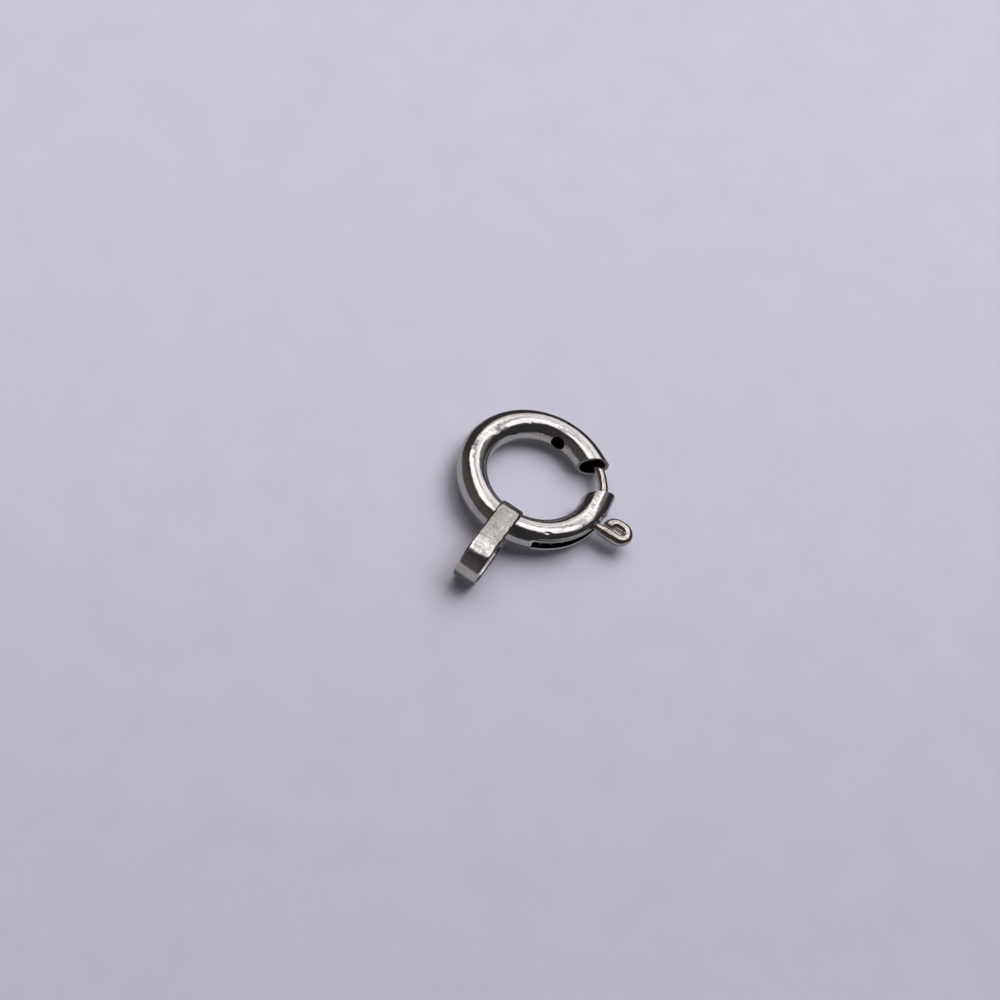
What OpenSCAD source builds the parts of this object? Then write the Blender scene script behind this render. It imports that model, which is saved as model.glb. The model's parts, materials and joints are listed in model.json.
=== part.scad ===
// Spring ring clasp, lying on its side as it rests on a table. Millimetres, +Z up.
//
// A thin tube is bent round to a ring that stays open at a gap. A wire tongue slides
// inside the tube and closes the gap. Its other end comes out through a slot in the
// outer wall and is folded into a thumb loop. A coil spring behind the tongue pushes it
// shut. A flat strap is wrapped round the tube and carried outward as the bail.
//
// Each piece is drawn in the ring's own plane, with the ring's centre at 0, and is then
// laid down on the floor. Angles run anticlockwise from +X, seen from above.

/* [Ring tube] */
// Outside diameter of the ring
ring_d = 6; // [5.8:0.1:7]
// Outside diameter of the tube
tube_d = 1.15; // [1.1:0.01:1.2]
// Wall of the tube
tube_wall = 0.12; // [0.1:0.01:0.13]

/* [Gap and slot] */
// Middle of the gap
gap_at = 36.25; // [35:0.25:37]
// Width of the gap, which is sawn with parallel sides
gap_w = 1.44; // [1.2:0.02:1.6]
// Where the tube stops bending, short of the end that the tongue comes out of
bend_from = 8; // [3:0.5:9]
// Where the tube starts bending, past the mouth that takes the tongue's tip
bend_to = 61; // [60:0.5:66]
// Blind end of the slot that the thumb loop runs in
slot_from = -63.5; // [-65:0.5:-62]
// End of the slot beside the closed thumb loop
slot_to = 7; // [6.5:0.5:9]
// Height of the slot
slot_h = 0.43; // [0.42:0.01:0.46]

/* [Side hole] */
// Where the round hole in the ring's inner wall is
hole_at = 93; // [85:1:110]
// Diameter of the hole
hole_d = 0.54; // [0.4:0.02:0.6]
// How far the hole's axis rises towards the upper face, in degrees
hole_rise = 15; // [0:1:25]

/* [Bail] */
// Width of the strap
strap_w = 0.9; // [0.7:0.02:0.96]
// Thickness of the strap
strap_t = 0.18; // [0.16:0.01:0.22]
// How far the strap's bend round the tube is off the tube's centre, outward
wrap_shift = 0.09; // [0:0.01:0.1]
// Distance from the ring's centre to the bail's tip
bail_reach = 5.35; // [5.1:0.05:5.6]
// Outside radius of the bend at the bail's tip
bail_bend_r = 0.94; // [0.84:0.02:1]
// Clearance between the strap and the tube
bail_gap = 0.02; // [0.01:0.01:0.03]

/* [Tongue] */
// Diameter of the tongue's wire
wire_d = 0.38; // [0.34:0.01:0.39]
// Clearance between the tongue and the outer side of the bore
tongue_gap = 0.045; // [0.03:0.005:0.06]
// Where the tip of the closed tongue is
tip_at = 61; // [59:0.5:66]
// Length of the bevel on the tip
tip_bevel = 0.08; // [0.04:0.01:0.12]

/* [Thumb loop] */
// Middle of the thumb loop while the clasp is shut
thumb_at = 0.75; // [0:0.25:1.5]
// Distance from the ring's centre to the end of the thumb loop
thumb_reach = 4.24; // [4.16:0.02:4.34]
// Diameter of the wire in the thumb loop, where it is pressed thicker
loop_wire_d = 0.44; // [0.4:0.01:0.46]
// Bend radius at the two ends of the thumb loop
thumb_bend_r = 0.3; // [0.29:0.005:0.32]
// How far the loop is off its middle line, towards the bail
thumb_shift = 0.04; // [0.02:0.01:0.06]
// How far the wire turns back in beside the tube, in degrees
near_turn = 92; // [80:2:94]
// Bend radius where the wire turns outward through the slot
elbow_r = 0.3; // [0.26:0.02:0.34]
// Clearance between the tube and the near end of the loop
loop_gap = 0.03; // [0.02:0.01:0.06]

/* [Spring] */
// Wire of the coil spring
spring_wire_d = 0.15; // [0.12:0.01:0.16]
// Outside diameter of the coil spring
spring_d = 0.78; // [0.7:0.02:0.84]
// Where the web across the bore is that the spring bears on
stop_at = -150; // [-170:1:-140]
// Number of turns
spring_turns = 15; // [10:1:18]

/* [Hidden] */
$fn = 96;

// Where two stretches of one bar or strap meet, one of them is slimmer by weld and runs
// weld_run into the other, so that they join up as one solid.
weld = 0.002;
weld_run = 0.02;

tube_r = tube_d / 2;
bore_r = tube_r - tube_wall;
ring_r = ring_d / 2 - tube_r;
end_run = ring_r * tan((bend_to - bend_from) / 2);

// The strap's middle line is an arc round the tube, two legs that spread a little, and
// an arc at the tip. The legs touch both arcs. The strap is pressed thin where its arc
// round the tube is too tight for it.
wrap_x = ring_r + wrap_shift;
wrap_r = tube_r + bail_gap + strap_t / 2;
tip_bend_r = bail_bend_r - strap_t / 2;
bail_at = -90;
bail_bend_at = bail_reach - bail_bend_r;
leg_run = bail_bend_at - wrap_x;
leg_spread = asin((tip_bend_r - wrap_r) / leg_run);
bail_side = 20;

wire_r = wire_d / 2;
tongue_r = ring_r + bore_r - tongue_gap - wire_r;
loop_wire_r = loop_wire_d / 2;
thumb_bend_x = thumb_reach - thumb_bend_r - loop_wire_r;
near_bend_x = ring_d / 2 + loop_gap + thumb_bend_r + loop_wire_r;

// The elbow touches the tongue's arc and the first leg, which stands straight outward.
// Its centre lies elbow_reach from the ring's centre.
elbow_reach = tongue_r + elbow_r;
elbow_turn = asin((elbow_r - thumb_shift - thumb_bend_r) / elbow_reach);
neck_x = elbow_reach * cos(elbow_turn);
thick_from = ring_d / 2 + 0.02;
thick_to = ring_d / 2 + 0.1;
tip_flat = 0.6;
weld_turn = weld_run / tongue_r * 180 / PI;

// The spring runs from behind the elbow to the web. It has spring_sides flats round
// its wire and spring_steps rings in a turn.
coil_r = (spring_d - spring_wire_d) / 2;
stop_half = 1.5;
spring_seat = 0.03;
spring_from = thumb_at - 12.5;
spring_to = stop_at + stop_half + (spring_wire_d / 2 + spring_seat) / ring_r * 180 / PI;
spring_sides = 6;
spring_steps = 10;
spring_rings = spring_turns * spring_steps;

// The clasp lies on the far side of its tube and on the tip of its bail, so the bail's
// side is a little raised. The origin is under the middle of the whole clasp.
rest_tilt = asin((bail_bend_r - tube_r) / (bail_bend_at + ring_r));
centre_h = tube_r + ring_r * sin(rest_tilt);
thumb_end_x = thumb_bend_x * cos(thumb_at) + thumb_shift * sin(thumb_at) + thumb_bend_r + loop_wire_r;
mid_x = (thumb_end_x - ring_d / 2) / 2;
mid_y = (cos(rest_tilt) * (ring_r - bail_bend_at) + tube_r - bail_bend_r) / 2;

// Lays what is drawn in the ring's plane down on the floor.
module lying() {
    translate([-mid_x, -mid_y, centre_h])
        rotate([-rest_tilt, 0, 0])
            children();
}

// A round bar of radius r that follows the ring's circle of radius at_r.
module round_arc(r, at_r, from, to) {
    rotate([0, 0, from])
        rotate_extrude(angle = to - from)
            translate([at_r, 0])
                circle(r = r);
}

// A straight round bar of radius r from a point in the ring's plane, in direction at.
module round_leg(r, from, at, length) {
    translate([from.x, from.y, 0])
        rotate([0, 0, at])
            translate([-weld_run, 0, 0])
                rotate([0, 90, 0])
                    cylinder(h = length + 2 * weld_run, r = r - weld);
}

// A bar of radius r along the whole tube, straight where the tube's ends spring open.
module tube_bar(r) {
    round_arc(r, ring_r, bend_to, bend_from + 360);
    round_leg(r, ring_r * [cos(bend_from), sin(bend_from)], bend_from + 90, end_run);
    round_leg(r, ring_r * [cos(bend_to), sin(bend_to)], bend_to - 90, end_run);
}

module gap_cut() {
    rotate([0, 0, gap_at])
        translate([ring_r / 2, -gap_w / 2, -tube_d])
            cube([ring_d, gap_w, 2 * tube_d]);
}

module slot_cut() {
    rotate([0, 0, slot_from])
        rotate_extrude(angle = slot_to - slot_from)
            translate([ring_r + bore_r / 2, -slot_h / 2])
                square([tube_r, slot_h]);
}

module side_hole_cut() {
    rotate([0, 0, hole_at])
        translate([ring_r, 0, 0])
            rotate([0, hole_rise - 90, 0])
                cylinder(h = tube_d, d = hole_d);
}

// The bent tube, with its slot, its side hole and the web inside that holds the spring.
module ring_tube() {
    color("silver") lying() difference() {
        tube_bar(tube_r);
        difference() {
            tube_bar(bore_r);
            round_arc(tube_r, ring_r, stop_at - stop_half + 360, stop_at + stop_half + 360);
        }
        gap_cut();
        slot_cut();
        side_hole_cut();
    }
}

// Section of the strap: x is its thickness and y its width, with round edges.
module strap_section(thickness = strap_t) {
    square([thickness, strap_w - strap_t], center = true);
    for (side = [-1, 1])
        translate([0, side * (strap_w - strap_t) / 2])
            circle(d = thickness);
}

// A stretch of strap bent to radius r round the point x on the bail's middle line.
module strap_bend(x, r, from, to) {
    translate([x, 0, 0])
        rotate([0, 0, from])
            rotate_extrude(angle = to - from)
                translate([r, 0])
                    strap_section();
}

module strap_leg() {
    translate([wrap_x - wrap_r * sin(leg_spread), wrap_r * cos(leg_spread), 0])
        rotate([0, 0, leg_spread])
            rotate([90, 0, 90])
                translate([0, 0, -weld_run])
                    linear_extrude(leg_run * cos(leg_spread) + 2 * weld_run)
                        strap_section(strap_t - 2 * weld);
}

// The whole loop of strap. x runs outward from the ring's centre and y is its height.
module strap_loop() {
    strap_bend(wrap_x, wrap_r, 90 + leg_spread, 270 - leg_spread);
    strap_bend(bail_bend_at, tip_bend_r, -90 - leg_spread, 90 + leg_spread);
    strap_leg();
    mirror([0, 1, 0])
        strap_leg();
}

// The flat strap that hugs the tube and stands out from it as a long eye.
module bail() {
    color("gainsboro") lying() difference() {
        rotate([90, 0, bail_at])
            strap_loop();
        round_arc(tube_r + bail_gap, ring_r, bail_at - bail_side, bail_at + bail_side);
    }
}

// The wire where it crosses the gap, with a bevelled tip.
module tongue_arc() {
    round_arc(wire_r - weld, tongue_r, thumb_at + elbow_turn - weld_turn, tip_at);
    rotate([0, 0, tip_at])
        translate([tongue_r, -weld_run, 0])
            rotate([-90, 0, 0])
                cylinder(h = tip_bevel + weld_run, r1 = wire_r - 2 * weld, r2 = wire_r * tip_flat);
}

// One of the two bends that close the thumb loop.
module loop_bend(x, from, to) {
    translate([x, -thumb_shift, 0])
        rotate([0, 0, from])
            rotate_extrude(angle = to - from)
                translate([thumb_bend_r, 0])
                    circle(r = loop_wire_r);
}

// The loop's first leg, which stands straight outward and is thicker outside the tube.
module first_leg() {
    thin = wire_r - weld;
    thick = loop_wire_r - weld;
    from = neck_x - weld_run;
    to = thumb_bend_x + weld_run;
    translate([0, -thumb_shift - thumb_bend_r, 0])
        rotate([0, 90, 0])
            rotate_extrude()
                polygon([
                    [0, from], [thin, from], [thin, thick_from], [thick, thick_to], [thick, to], [0, to]
                ]);
}

// The elbow through the slot and the oval of wire that the thumb pushes. x runs along
// the loop, outward, and y across it.
module thumb_loop() {
    rotate([0, 0, elbow_turn])
        translate([elbow_reach, 0, 0])
            rotate([0, 0, 180])
                rotate_extrude(angle = 90 - elbow_turn)
                    translate([elbow_r, 0])
                        circle(r = wire_r);
    first_leg();
    loop_bend(thumb_bend_x, -90, 90);
    round_leg(
        loop_wire_r, [thumb_bend_x, thumb_bend_r - thumb_shift], 180, thumb_bend_x - near_bend_x
    );
    loop_bend(near_bend_x, 90, 90 + near_turn);
}

// The sliding wire, one piece from its tip to the free end of the thumb loop.
module tongue() {
    color("lightgray") lying() {
        tongue_arc();
        rotate([0, 0, thumb_at])
            thumb_loop();
    }
}

// Points and directions on the coil, with u from 0 at the tongue to 1 at the web.
function coil_angle(u) = spring_from + (spring_to - spring_from) * u;
function coil_turn(u) = 360 * spring_turns * u;
function outward(a, w) = [cos(w) * cos(a), cos(w) * sin(a), sin(w)];
function coil_point(u) =
    let(a = coil_angle(u), w = coil_turn(u))
    ring_r * [cos(a), sin(a), 0] + coil_r * outward(a, w);
function along_coil(u) =
    let(step = 0.0005, d = coil_point(u + step) - coil_point(u - step))
    d / norm(d);
function coil_ring(u) =
    let(
        n = outward(coil_angle(u), coil_turn(u)),
        b = cross(along_coil(u), n),
        r = spring_wire_d / 2
    )
    [for (k = [0 : spring_sides - 1])
        coil_point(u) + r * (cos(360 * k / spring_sides) * n + sin(360 * k / spring_sides) * b)];

// The coil spring, swept round the ring's arc.
module spring() {
    rings = [for (i = [0 : spring_rings]) coil_ring(i / spring_rings)];
    points = [for (ring = rings, p = ring) p];
    last = spring_rings * spring_sides;
    sides = [
        for (i = [0 : spring_rings - 1], k = [0 : spring_sides - 1])
            let(a = i * spring_sides + k, b = i * spring_sides + (k + 1) % spring_sides)
            [a, b, b + spring_sides, a + spring_sides]
    ];
    start_cap = [[for (k = [spring_sides - 1 : -1 : 0]) k]];
    end_cap = [[for (k = [0 : spring_sides - 1]) last + k]];
    color("darkgray") lying()
        polyhedron(points = points, faces = concat(sides, start_cap, end_cap), convexity = 10);
}

ring_tube();
bail();
tongue();
spring();
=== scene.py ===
"""Spring ring clasp in polished white metal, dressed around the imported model.

Sizes are millimetres in the ring's own plane: the ring's centre is 0, angles run
anticlockwise from +X seen from above, and z rises from the ring's middle plane.
RingPlane lays the finished points down in the frame, in metres.
"""

import json
import logging
import math
from dataclasses import dataclass
from enum import Enum, IntEnum

import bmesh
import bpy
import numpy as np
from mathutils import Matrix, Vector

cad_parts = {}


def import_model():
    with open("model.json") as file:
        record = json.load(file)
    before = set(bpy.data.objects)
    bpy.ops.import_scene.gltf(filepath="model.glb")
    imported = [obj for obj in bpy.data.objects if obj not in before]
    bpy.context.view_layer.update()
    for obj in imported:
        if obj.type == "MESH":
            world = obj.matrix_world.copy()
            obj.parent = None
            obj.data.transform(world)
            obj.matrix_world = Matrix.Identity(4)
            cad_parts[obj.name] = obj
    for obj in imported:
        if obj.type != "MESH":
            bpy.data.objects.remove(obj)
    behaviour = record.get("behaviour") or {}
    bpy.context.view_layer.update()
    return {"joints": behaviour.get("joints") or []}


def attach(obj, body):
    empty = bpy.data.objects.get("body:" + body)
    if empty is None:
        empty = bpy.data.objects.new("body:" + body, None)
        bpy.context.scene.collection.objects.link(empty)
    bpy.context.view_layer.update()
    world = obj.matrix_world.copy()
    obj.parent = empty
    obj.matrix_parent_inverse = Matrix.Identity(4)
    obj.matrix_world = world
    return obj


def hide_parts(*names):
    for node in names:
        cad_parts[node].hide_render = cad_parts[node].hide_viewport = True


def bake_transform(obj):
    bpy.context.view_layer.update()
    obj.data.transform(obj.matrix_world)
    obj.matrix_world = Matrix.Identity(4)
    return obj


LOG = logging.getLogger("clasp")
MM = 0.001
TINY = 1e-9
EDGE_SEGMENTS = 3
FACE_WEIGHT = 80
Span = tuple[float, float]
Span3 = tuple[float, float, float]
Length = np.ndarray | float
Socket = bpy.types.NodeSocket
Source = Socket | Span3 | float


class Slot(Enum):
    """Material slots of the record."""

    CASE = "polished_white_metal"
    TONGUE = "tongue_wire"
    SPRING = "spring_wire"


class Body(Enum):
    """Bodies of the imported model."""

    CASE = "case"
    SLIDER = "slider"


class Tone(IntEnum):
    """Materials of the tube's faces, by their order on the piece."""

    POLISHED = 0
    BORE = 1
    SAWN = 2


def unit(angle: float) -> np.ndarray:
    """Unit vector in the ring's plane at an angle in degrees."""
    turn = math.radians(angle)
    return np.array([math.cos(turn), math.sin(turn), 0.0])


def wrapped(angle: np.ndarray) -> np.ndarray:
    """Angles in degrees, brought to between -180 and 180."""
    return (angle + 180.0) % 360.0 - 180.0


def round_once(count: int) -> np.ndarray:
    """Angles in radians, once round in even steps."""
    return np.radians(np.linspace(0.0, 360.0, count + 1)[:-1])


def on_ring(out: Length, turn: np.ndarray, high: Length) -> np.ndarray:
    """Points this far out from the ring's centre, at angles in radians, and this high."""
    return np.stack(np.broadcast_arrays(out * np.cos(turn), out * np.sin(turn), high), axis=-1)


def on_arc(middle: np.ndarray, radius: float, angles: np.ndarray) -> list[np.ndarray]:
    """Places of x and y on an arc, at angles in degrees."""
    return [middle + radius * unit(angle)[:2] for angle in angles]


def headings(line: np.ndarray) -> np.ndarray:
    """Unit vectors along a line of points."""
    heading = np.gradient(line, axis=0)
    return heading / np.linalg.norm(heading, axis=1)[:, None]


def spokes(spin: np.ndarray, first: np.ndarray, second: np.ndarray) -> np.ndarray:
    """Unit vectors round a line, turned from its first sides towards its second sides."""
    spin = spin[None, :, None]
    return np.cos(spin) * first[:, None] + np.sin(spin) * second[:, None]


def smooth_step(value: np.ndarray, start: float, end: float) -> np.ndarray:
    """Eases from 0 to 1 while the value goes from start to end."""
    share = np.clip((value - start) / (end - start), 0.0, 1.0)
    return share * share * (3.0 - 2.0 * share)


@dataclass(frozen=True)
class Ripple:
    """Faint hand-worked waviness, made of a few crossed waves.

    It is sunk by a few heights, so it hardly ever stands proud of the plain face.
    """

    height: float
    length: float
    seed: int
    waves: int = 7
    lengths: Span = (0.6, 1.8)
    sunk: float = 2.0

    def at(self, first: np.ndarray, second: np.ndarray) -> np.ndarray:
        """Height of the waves at places measured along two directions.

        Args:
            first: Distance along the surface, in millimetres.
            second: Distance across the surface, in millimetres.

        Returns:
            Height in millimetres, in the shape of first.
        """
        draw = np.random.default_rng(self.seed)
        total = np.zeros(np.broadcast(first, second).shape)
        for _ in range(self.waves):
            heading = draw.uniform(0.0, math.pi)
            length = self.length * draw.uniform(*self.lengths)
            phase = draw.uniform(0.0, 2.0 * math.pi)
            along = first * math.cos(heading) + second * math.sin(heading)
            total = total + np.sin(2.0 * math.pi * along / length + phase)
        return self.height * (total / math.sqrt(self.waves) - self.sunk)


@dataclass(frozen=True)
class RingPlane:
    """Where the ring's own plane lies in the frame."""

    centre: Vector
    axis: Vector

    @classmethod
    def from_joint(cls, joint: dict) -> "RingPlane":
        """The plane that the tongue slides in, from its joint in the record."""
        return cls(Vector(joint["pos_m"]), Vector(joint["axis"]).normalized())

    def basis(self) -> Matrix:
        """Columns are the plane's X, Y and normal in the frame."""
        side = Vector((1.0, 0.0, 0.0))
        return Matrix((side, self.axis.cross(side), self.axis)).transposed()

    def lay(self, points: np.ndarray) -> np.ndarray:
        """Turns points in the ring's plane, in millimetres, into the frame's, in metres."""
        turn = np.array(self.basis())
        return points @ turn.T * MM + np.array(self.centre)


class MeshDraft:
    """Points and faces in millimetres, gathered before they become an object."""

    def __init__(self) -> None:
        """Starts with no points."""
        self.rows: list[np.ndarray] = []
        self.faces: list[tuple[int, ...]] = []
        self.tones: list[int] = []
        self.count = 0

    def points(self, grid: np.ndarray) -> np.ndarray:
        """Adds points.

        Args:
            grid: Any array whose last axis is x, y and z.

        Returns:
            The points' numbers, in the shape of the grid without its last axis.
        """
        flat = np.asarray(grid, float).reshape(-1, 3)
        self.rows.append(flat)
        ids = np.arange(self.count, self.count + len(flat))
        self.count += len(flat)
        return ids.reshape(np.asarray(grid).shape[:-1])

    def quads(self, ids: np.ndarray, keep: np.ndarray | None = None, tone: int = 0) -> None:
        """Adds faces between neighbouring rows, each of which runs back into its own start.

        Args:
            ids: Point numbers, a row for each section.
            keep: Which faces are wanted, a row for each pair of rows.
            tone: Number of the material that the faces take.
        """
        after = np.roll(ids, -1, axis=1)
        faces = np.stack([ids[:-1], ids[1:], after[1:], after[:-1]], axis=-1)
        chosen = faces.reshape(-1, 4) if keep is None else faces[keep]
        self.faces.extend(map(tuple, chosen.tolist()))
        self.tones.extend([int(tone)] * len(chosen))

    def fan(self, ring: np.ndarray, hub: np.ndarray) -> None:
        """Closes a ring of points with triangles to one point.

        Args:
            ring: Point numbers in order.
            hub: The place of the middle point.
        """
        middle = int(self.points(np.asarray(hub)[None])[0])
        self.faces.extend((int(a), int(b), middle) for a, b in zip(ring, np.roll(ring, -1)))
        self.tones.extend([0] * len(ring))

    def mesh(self, name: str, plane: RingPlane) -> bpy.types.Object:
        """Makes the object.

        Args:
            name: The object's name.
            plane: Where the ring's plane lies.

        Returns:
            A smooth-shaded object with its faces turned outward.
        """
        data = bpy.data.meshes.new(name)
        data.from_pydata(plane.lay(np.concatenate(self.rows)).tolist(), [], self.faces)
        data.polygons.foreach_set("material_index", self.tones)
        work = bmesh.new()
        work.from_mesh(data)
        bmesh.ops.recalc_face_normals(work, faces=work.faces)
        work.to_mesh(data)
        work.free()
        data.shade_smooth()
        piece = bpy.data.objects.new(name, data)
        bpy.context.scene.collection.objects.link(piece)
        return piece


@dataclass(frozen=True)
class Speckle:
    """One layer of noise: cells in a unit of length, detail, stretch and what shows of it."""

    cells: float
    detail: float
    stretch: Span3 = (1.0, 1.0, 1.0)
    span: Span = (0.0, 1.0)


def ease_edges(piece: bpy.types.Object, radius: float, sharper_than: float) -> None:
    """Rounds a piece's sharp edges and keeps its broad faces true.

    Args:
        piece: The object.
        radius: Size of the rounding in millimetres.
        sharper_than: Edges that turn by more degrees than this are rounded.
    """
    work = bmesh.new()
    work.from_mesh(piece.data)
    limit = math.radians(sharper_than)
    edges = [e for e in work.edges if e.is_manifold and e.calc_face_angle(0.0) > limit]
    bmesh.ops.bevel(
        work, geom=edges, offset=radius * MM, segments=EDGE_SEGMENTS, profile=0.5,
        affect="EDGES", clamp_overlap=True, loop_slide=True,
    )
    work.to_mesh(piece.data)
    work.free()
    piece.data.shade_smooth()
    weighted = piece.modifiers.new("TrueFaces", "WEIGHTED_NORMAL")
    weighted.weight = FACE_WEIGHT


class Graph:
    """Short ways to add shader nodes to one tree."""

    def __init__(self, tree: bpy.types.NodeTree) -> None:
        """Works on this tree."""
        self.nodes, self.links = tree.nodes, tree.links

    def feed(self, value: Source, socket: Socket) -> None:
        """Links a socket's value in, or sets it where the value is plain.

        Args:
            value: The socket that gives the value, or the value.
            socket: The socket that takes it.
        """
        if isinstance(value, Socket):
            self.links.new(value, socket)
        else:
            socket.default_value = value

    def place(self, output: str) -> Socket:
        """One of the texture coordinates."""
        return self.nodes.new("ShaderNodeTexCoord").outputs[output]

    def maths(self, kind: str, first: Source, second: Source) -> Socket:
        """A sum, product or the like of two values.

        Args:
            kind: Blender's name of the operation.
            first: The first value.
            second: The second value.

        Returns:
            The result.
        """
        node = self.nodes.new("ShaderNodeMath")
        node.operation = kind
        self.feed(first, node.inputs[0])
        self.feed(second, node.inputs[1])
        return node.outputs[0]

    def along(self, vector: Source, direction: Span3) -> Socket:
        """How far a vector reaches along a direction.

        Args:
            vector: The vector.
            direction: The direction, whose length scales the result.

        Returns:
            The reach.
        """
        node = self.nodes.new("ShaderNodeVectorMath")
        node.operation = "DOT_PRODUCT"
        self.feed(vector, node.inputs[0])
        node.inputs[1].default_value = direction
        return node.outputs["Value"]

    def ramp(self, value: Source, span: Span, to: Span = (0.0, 1.0)) -> Socket:
        """Eases from one value to another while the input crosses a span.

        Args:
            value: The input.
            span: Where the easing starts and ends.
            to: The results before the start and past the end.

        Returns:
            The eased value.
        """
        node = self.nodes.new("ShaderNodeMapRange")
        node.interpolation_type = "SMOOTHSTEP"
        self.feed(value, node.inputs["Value"])
        for socket, number in zip(("From Min", "From Max", "To Min", "To Max"), (*span, *to)):
            node.inputs[socket].default_value = number
        return node.outputs["Result"]

    def blend(self, share: Source, first: Source, second: Source) -> Socket:
        """A colour between two colours.

        Args:
            share: 0 for the first colour and 1 for the second.
            first: The first colour.
            second: The second colour.

        Returns:
            The colour.
        """
        node = self.nodes.new("ShaderNodeMix")
        node.data_type = "RGBA"
        self.feed(share, node.inputs["Factor"])
        for socket, value in (("A", first), ("B", second)):
            self.feed((*value, 1.0) if isinstance(value, tuple) else value, node.inputs[socket])
        return node.outputs["Result"]

    def noise(self, vector: Source, layer: Speckle, size: float = MM) -> Socket:
        """Noise over a vector that is first stretched along its axes.

        Args:
            vector: Where the noise is looked up.
            layer: The noise's cells, detail and stretch.
            size: The vector's length at one unit, which is a millimetre if not given.

        Returns:
            The noise, from 0 to 1.
        """
        mapping = self.nodes.new("ShaderNodeMapping")
        mapping.inputs["Scale"].default_value = layer.stretch
        self.feed(vector, mapping.inputs["Vector"])
        node = self.nodes.new("ShaderNodeTexNoise")
        node.inputs["Scale"].default_value = layer.cells / size
        node.inputs["Detail"].default_value = layer.detail
        self.feed(mapping.outputs["Vector"], node.inputs["Vector"])
        return node.outputs["Fac"]

    def speckle(self, vector: Source, layer: Speckle, to: Span, size: float = MM) -> Socket:
        """Noise, of which only what lies in the layer's span shows."""
        return self.ramp(self.noise(vector, layer, size), layer.span, to)

    def bump(self, height: Source, depth: float, under: Source | None = None) -> Socket:
        """Unevenness of a surface, over another one if there is one.

        Args:
            height: The height, from 0 to 1.
            depth: What a height of 1 comes to, in millimetres.
            under: The unevenness below this one.

        Returns:
            The surface's direction.
        """
        node = self.nodes.new("ShaderNodeBump")
        node.inputs["Strength"].default_value = 1.0
        node.inputs["Distance"].default_value = depth * MM
        self.feed(height, node.inputs["Height"])
        if under is not None:
            self.feed(under, node.inputs["Normal"])
        return node.outputs["Normal"]


@dataclass(frozen=True)
class Metal:
    """A polished metal with fine wear.

    Its darker tone is painted shade for a dimmer reflection, together with dark stamped marks. It
    sets in over a span of the frame's Y, in millimetres.
    """

    name: str
    colour: Span3
    shade: Span3
    gloss: float = 0.07
    worn: float = 0.2
    grain_depth: float = 0.0016
    dent_depth: float = 0.008
    marks_and_shade: float = 0.0
    marks_and_shade_tone: Span3 = (0.16, 0.15, 0.14)
    marks_and_shade_from: Span = (-3.1, -2.75)
    marks_and_shade_ragged: float = 0.2
    clouds: Speckle = Speckle(1.3, 4.0, span=(0.42, 0.72))
    wear: Speckle = Speckle(2.6, 6.0, (1.0, 1.0, 1.4), (0.40, 0.74))
    dents: Speckle = Speckle(3.6, 3.0)
    grain: Speckle = Speckle(9.0, 8.0, (1.0, 0.5, 1.0))

    def build(self) -> bpy.types.Material:
        """Makes the material.

        Returns:
            A material with its painted shade and dark marks, wear, grain and small dents as
            procedural nodes.
        """
        made = bpy.data.materials.new(self.name)
        made.use_nodes = True
        graph = Graph(made.node_tree)
        metal = graph.nodes["Principled BSDF"]
        metal.inputs["Metallic"].default_value = 1.0
        place = graph.place("Object")
        cloud = graph.speckle(place, self.clouds, (0.0, 1.0))
        tone = graph.blend(cloud, self.colour, self.shade)
        # Painted shade: a darker base tone over part of the piece stands in for a dimmer
        # reflection there, along with dark stamped marks.
        if self.marks_and_shade:
            ragged = graph.maths("MULTIPLY", cloud, self.marks_and_shade_ragged * MM)
            reach = graph.maths("SUBTRACT", graph.along(place, (0.0, 1.0, 0.0)), ragged)
            span = (self.marks_and_shade_from[0] * MM, self.marks_and_shade_from[1] * MM)
            marked_and_shaded = graph.ramp(reach, span, (0.0, self.marks_and_shade))
            tone = graph.blend(marked_and_shaded, tone, self.marks_and_shade_tone)
        graph.feed(tone, metal.inputs["Base Color"])
        wear = graph.speckle(place, self.wear, (self.gloss, self.worn))
        graph.feed(wear, metal.inputs["Roughness"])
        dents = graph.bump(graph.noise(place, self.dents), self.dent_depth)
        grain = graph.bump(graph.noise(place, self.grain), self.grain_depth, dents)
        graph.feed(grain, metal.inputs["Normal"])
        return made


CASE_METAL = Metal("PolishedWhiteMetal", (0.70, 0.685, 0.67), (0.58, 0.56, 0.545))
TONGUE_METAL = Metal("TongueWire", (0.67, 0.61, 0.575), (0.48, 0.43, 0.40), gloss=0.06)
# Painted shade: the spring takes a near-black tone so it reads dark inside the tube.
SHADED_SPRING_METAL = Metal("ShadedSpringWire", (0.16, 0.16, 0.155), (0.08, 0.08, 0.08), gloss=0.35, worn=0.5)
# The strap's upper leg takes painted shade: a darker base tone for its dimmer reflection, along
# with its dark stamped marks. Its base tone is lighter than the tube's, which paints a brighter
# highlight at the fold.
STRAP_METAL = Metal(
    "WornStrap", (0.75, 0.725, 0.705), (0.56, 0.54, 0.52),
    gloss=0.10, worn=0.26, grain_depth=0.003, dent_depth=0.011, marks_and_shade=0.5,
)
SAWN_METAL = Metal("SawnFaces", (0.36, 0.35, 0.345), (0.26, 0.25, 0.245), gloss=0.28, worn=0.45)
# Painted shade: the bore, the side hole's walls and the web take a near-black tone so the inside
# reads dark. This sits over their rougher, unpolished finish.
SHADED_BORE_METAL = Metal(
    "UnpolishedShadedBore", (0.10, 0.095, 0.09), (0.06, 0.057, 0.054), gloss=0.45, worn=0.65,
)


@dataclass(frozen=True)
class Dent:
    """A small knock in the tube's outer face."""

    at: float
    round_tube: float
    size: float
    depth: float


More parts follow.
